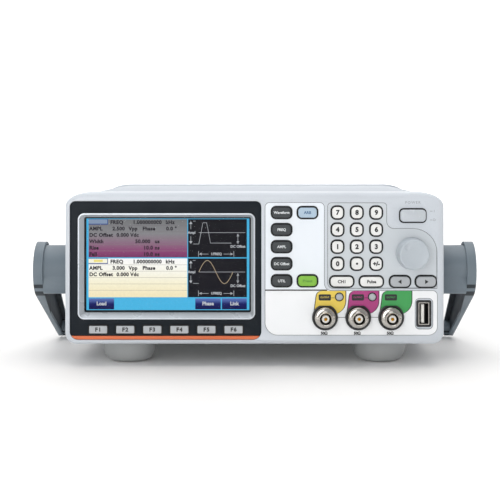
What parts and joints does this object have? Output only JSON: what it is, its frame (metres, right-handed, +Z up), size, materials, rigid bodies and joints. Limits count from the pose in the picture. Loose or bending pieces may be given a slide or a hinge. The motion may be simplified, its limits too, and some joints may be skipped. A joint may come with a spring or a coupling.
{
  "type": "function generator",
  "caption": "Bench function generator with a colour display, soft keys, keypad, adjusting knob, coaxial sockets, a fan and a swinging carrying handle.",
  "frame": {"origin": "under the middle of the whole object, on the surface its feet stand on", "axes": "+X to the right as seen from the front, +Y towards the back (the display faces -Y), +Z up"},
  "size_m": [0.3226, 0.293, 0.123],
  "materials": {
    "front_bezel": "fine texture",
    "display_fascia": "satin",
    "accent_strip": "satin",
    "display_frame": "silver paint",
    "display_window": "clear",
    "lcd_module": "backlit",
    "bnc": "nickel plated",
    "usb_socket": "nickel plated",
    "front_board": "solder mask",
    "top_cover": "fine powder coat",
    "bottom_chassis": "zinc plated",
    "rear_frame": "fine texture",
    "rear_panel": "zinc plated",
    "mains_inlet": "satin",
    "fan_frame": "satin",
    "main_board": "solder mask",
    "power_supply": "solder mask",
    "foot": "matte",
    "handle": "fine texture",
    "adjusting_knob": "satin",
    "fan_rotor": "satin",
    "power_button": "satin",
    "soft_key": "satin",
    "dark_key": "satin",
    "blue_key": "satin",
    "green_key": "satin",
    "white_key": "satin",
    "arrow_key": "satin",
    "output_button": "satin"
  },
  "bodies": {
    "case": {"front_bezel": "front_bezel", "display_fascia": "display_fascia", "accent_strip": "accent_strip", "display_frame": "display_frame", "display_window": "display_window", "lcd_module": "lcd_module", "bnc_channel_1": "bnc", "bnc_pulse": "bnc", "bnc_radio_frequency": "bnc", "usb_socket": "usb_socket", "front_board": "front_board", "top_cover": "top_cover", "bottom_chassis": "bottom_chassis", "rear_frame": "rear_frame", "rear_panel": "rear_panel", "mains_inlet": "mains_inlet", "fan_frame": "fan_frame", "main_board": "main_board", "power_supply": "power_supply", "front_foot_left": "foot", "front_foot_right": "foot", "rear_foot_left": "foot", "rear_foot_right": "foot"},
    "handle": {"handle_arm_left": "handle", "handle_arm_right": "handle", "handle_grip": "handle"},
    "knob": {"adjusting_knob": "adjusting_knob"},
    "fan": {"fan_rotor": "fan_rotor"},
    "power": {"power_button": "power_button"},
    "key_f1": {"key_f1": "soft_key"},
    "key_f2": {"key_f2": "soft_key"},
    "key_f3": {"key_f3": "soft_key"},
    "key_f4": {"key_f4": "soft_key"},
    "key_f5": {"key_f5": "soft_key"},
    "key_f6": {"key_f6": "soft_key"},
    "key_waveform": {"key_waveform": "dark_key"},
    "key_frequency": {"key_frequency": "dark_key"},
    "key_amplitude": {"key_amplitude": "dark_key"},
    "key_offset": {"key_offset": "dark_key"},
    "key_utility": {"key_utility": "dark_key"},
    "key_arbitrary": {"key_arbitrary": "blue_key"},
    "key_preset": {"key_preset": "green_key"},
    "key_7": {"key_7": "white_key"},
    "key_8": {"key_8": "white_key"},
    "key_9": {"key_9": "white_key"},
    "key_4": {"key_4": "white_key"},
    "key_5": {"key_5": "white_key"},
    "key_6": {"key_6": "white_key"},
    "key_1": {"key_1": "white_key"},
    "key_2": {"key_2": "white_key"},
    "key_3": {"key_3": "white_key"},
    "key_0": {"key_0": "white_key"},
    "key_point": {"key_point": "white_key"},
    "key_sign": {"key_sign": "white_key"},
    "key_channel": {"key_channel": "white_key"},
    "key_pulse": {"key_pulse": "white_key"},
    "key_left": {"key_left": "arrow_key"},
    "key_right": {"key_right": "arrow_key"},
    "output_button_1": {"output_button_1": "output_button"},
    "output_button_2": {"output_button_2": "output_button"}
  },
  "joints": [
    {"name": "handle_turn", "type": "hinge", "parent": "case", "child": "handle", "pos_m": [0, -0.0805, 0.0646], "axis": [-1, 0, 0], "range_deg": [0, 275]},
    {"name": "knob_turn", "type": "hinge", "parent": "case", "child": "knob", "pos_m": [0.1108, -0.1305, 0.08], "axis": [0, -1, 0], "continuous": true},
    {"name": "fan_spin", "type": "hinge", "parent": "case", "child": "fan", "pos_m": [-0.076, 0.1245, 0.07], "axis": [0, 1, 0], "continuous": true},
    {"name": "power_press", "type": "slide", "parent": "case", "child": "power", "axis": [0, 1, 0], "range_m": [0, 0.0025], "stiffness_N_per_m": 400},
    {"name": "press_f1", "type": "slide", "parent": "case", "child": "key_f1", "axis": [0, 1, 0], "range_m": [0, 0.0008], "stiffness_N_per_m": 300},
    {"name": "press_f2", "type": "slide", "parent": "case", "child": "key_f2", "axis": [0, 1, 0], "range_m": [0, 0.0008], "stiffness_N_per_m": 300},
    {"name": "press_f3", "type": "slide", "parent": "case", "child": "key_f3", "axis": [0, 1, 0], "range_m": [0, 0.0008], "stiffness_N_per_m": 300},
    {"name": "press_f4", "type": "slide", "parent": "case", "child": "key_f4", "axis": [0, 1, 0], "range_m": [0, 0.0008], "stiffness_N_per_m": 300},
    {"name": "press_f5", "type": "slide", "parent": "case", "child": "key_f5", "axis": [0, 1, 0], "range_m": [0, 0.0008], "stiffness_N_per_m": 300},
    {"name": "press_f6", "type": "slide", "parent": "case", "child": "key_f6", "axis": [0, 1, 0], "range_m": [0, 0.0008], "stiffness_N_per_m": 300},
    {"name": "press_waveform", "type": "slide", "parent": "case", "child": "key_waveform", "axis": [0, 1, 0], "range_m": [0, 0.001], "stiffness_N_per_m": 300},
    {"name": "press_frequency", "type": "slide", "parent": "case", "child": "key_frequency", "axis": [0, 1, 0], "range_m": [0, 0.001], "stiffness_N_per_m": 300},
    {"name": "press_amplitude", "type": "slide", "parent": "case", "child": "key_amplitude", "axis": [0, 1, 0], "range_m": [0, 0.001], "stiffness_N_per_m": 300},
    {"name": "press_offset", "type": "slide", "parent": "case", "child": "key_offset", "axis": [0, 1, 0], "range_m": [0, 0.001], "stiffness_N_per_m": 300},
    {"name": "press_utility", "type": "slide", "parent": "case", "child": "key_utility", "axis": [0, 1, 0], "range_m": [0, 0.001], "stiffness_N_per_m": 300},
    {"name": "press_arbitrary", "type": "slide", "parent": "case", "child": "key_arbitrary", "axis": [0, 1, 0], "range_m": [0, 0.001], "stiffness_N_per_m": 300},
    {"name": "press_preset", "type": "slide", "parent": "case", "child": "key_preset", "axis": [0, 1, 0], "range_m": [0, 0.001], "stiffness_N_per_m": 300},
    {"name": "press_7", "type": "slide", "parent": "case", "child": "key_7", "axis": [0, 1, 0], "range_m": [0, 0.001], "stiffness_N_per_m": 300},
    {"name": "press_8", "type": "slide", "parent": "case", "child": "key_8", "axis": [0, 1, 0], "range_m": [0, 0.001], "stiffness_N_per_m": 300},
    {"name": "press_9", "type": "slide", "parent": "case", "child": "key_9", "axis": [0, 1, 0], "range_m": [0, 0.001], "stiffness_N_per_m": 300},
    {"name": "press_4", "type": "slide", "parent": "case", "child": "key_4", "axis": [0, 1, 0], "range_m": [0, 0.001], "stiffness_N_per_m": 300},
    {"name": "press_5", "type": "slide", "parent": "case", "child": "key_5", "axis": [0, 1, 0], "range_m": [0, 0.001], "stiffness_N_per_m": 300},
    {"name": "press_6", "type": "slide", "parent": "case", "child": "key_6", "axis": [0, 1, 0], "range_m": [0, 0.001], "stiffness_N_per_m": 300},
    {"name": "press_1", "type": "slide", "parent": "case", "child": "key_1", "axis": [0, 1, 0], "range_m": [0, 0.001], "stiffness_N_per_m": 300},
    {"name": "press_2", "type": "slide", "parent": "case", "child": "key_2", "axis": [0, 1, 0], "range_m": [0, 0.001], "stiffness_N_per_m": 300},
    {"name": "press_3", "type": "slide", "parent": "case", "child": "key_3", "axis": [0, 1, 0], "range_m": [0, 0.001], "stiffness_N_per_m": 300},
    {"name": "press_0", "type": "slide", "parent": "case", "child": "key_0", "axis": [0, 1, 0], "range_m": [0, 0.001], "stiffness_N_per_m": 300},
    {"name": "press_point", "type": "slide", "parent": "case", "child": "key_point", "axis": [0, 1, 0], "range_m": [0, 0.001], "stiffness_N_per_m": 300},
    {"name": "press_sign", "type": "slide", "parent": "case", "child": "key_sign", "axis": [0, 1, 0], "range_m": [0, 0.001], "stiffness_N_per_m": 300},
    {"name": "press_channel", "type": "slide", "parent": "case", "child": "key_channel", "axis": [0, 1, 0], "range_m": [0, 0.001], "stiffness_N_per_m": 300},
    {"name": "press_pulse", "type": "slide", "parent": "case", "child": "key_pulse", "axis": [0, 1, 0], "range_m": [0, 0.001], "stiffness_N_per_m": 300},
    {"name": "press_left", "type": "slide", "parent": "case", "child": "key_left", "axis": [0, 1, 0], "range_m": [0, 0.001], "stiffness_N_per_m": 300},
    {"name": "press_right", "type": "slide", "parent": "case", "child": "key_right", "axis": [0, 1, 0], "range_m": [0, 0.001], "stiffness_N_per_m": 300},
    {"name": "press_output_1", "type": "slide", "parent": "case", "child": "output_button_1", "axis": [0, 1, 0], "range_m": [0, 0.001], "stiffness_N_per_m": 300},
    {"name": "press_output_2", "type": "slide", "parent": "case", "child": "output_button_2", "axis": [0, 1, 0], "range_m": [0, 0.001], "stiffness_N_per_m": 300}
  ]
}
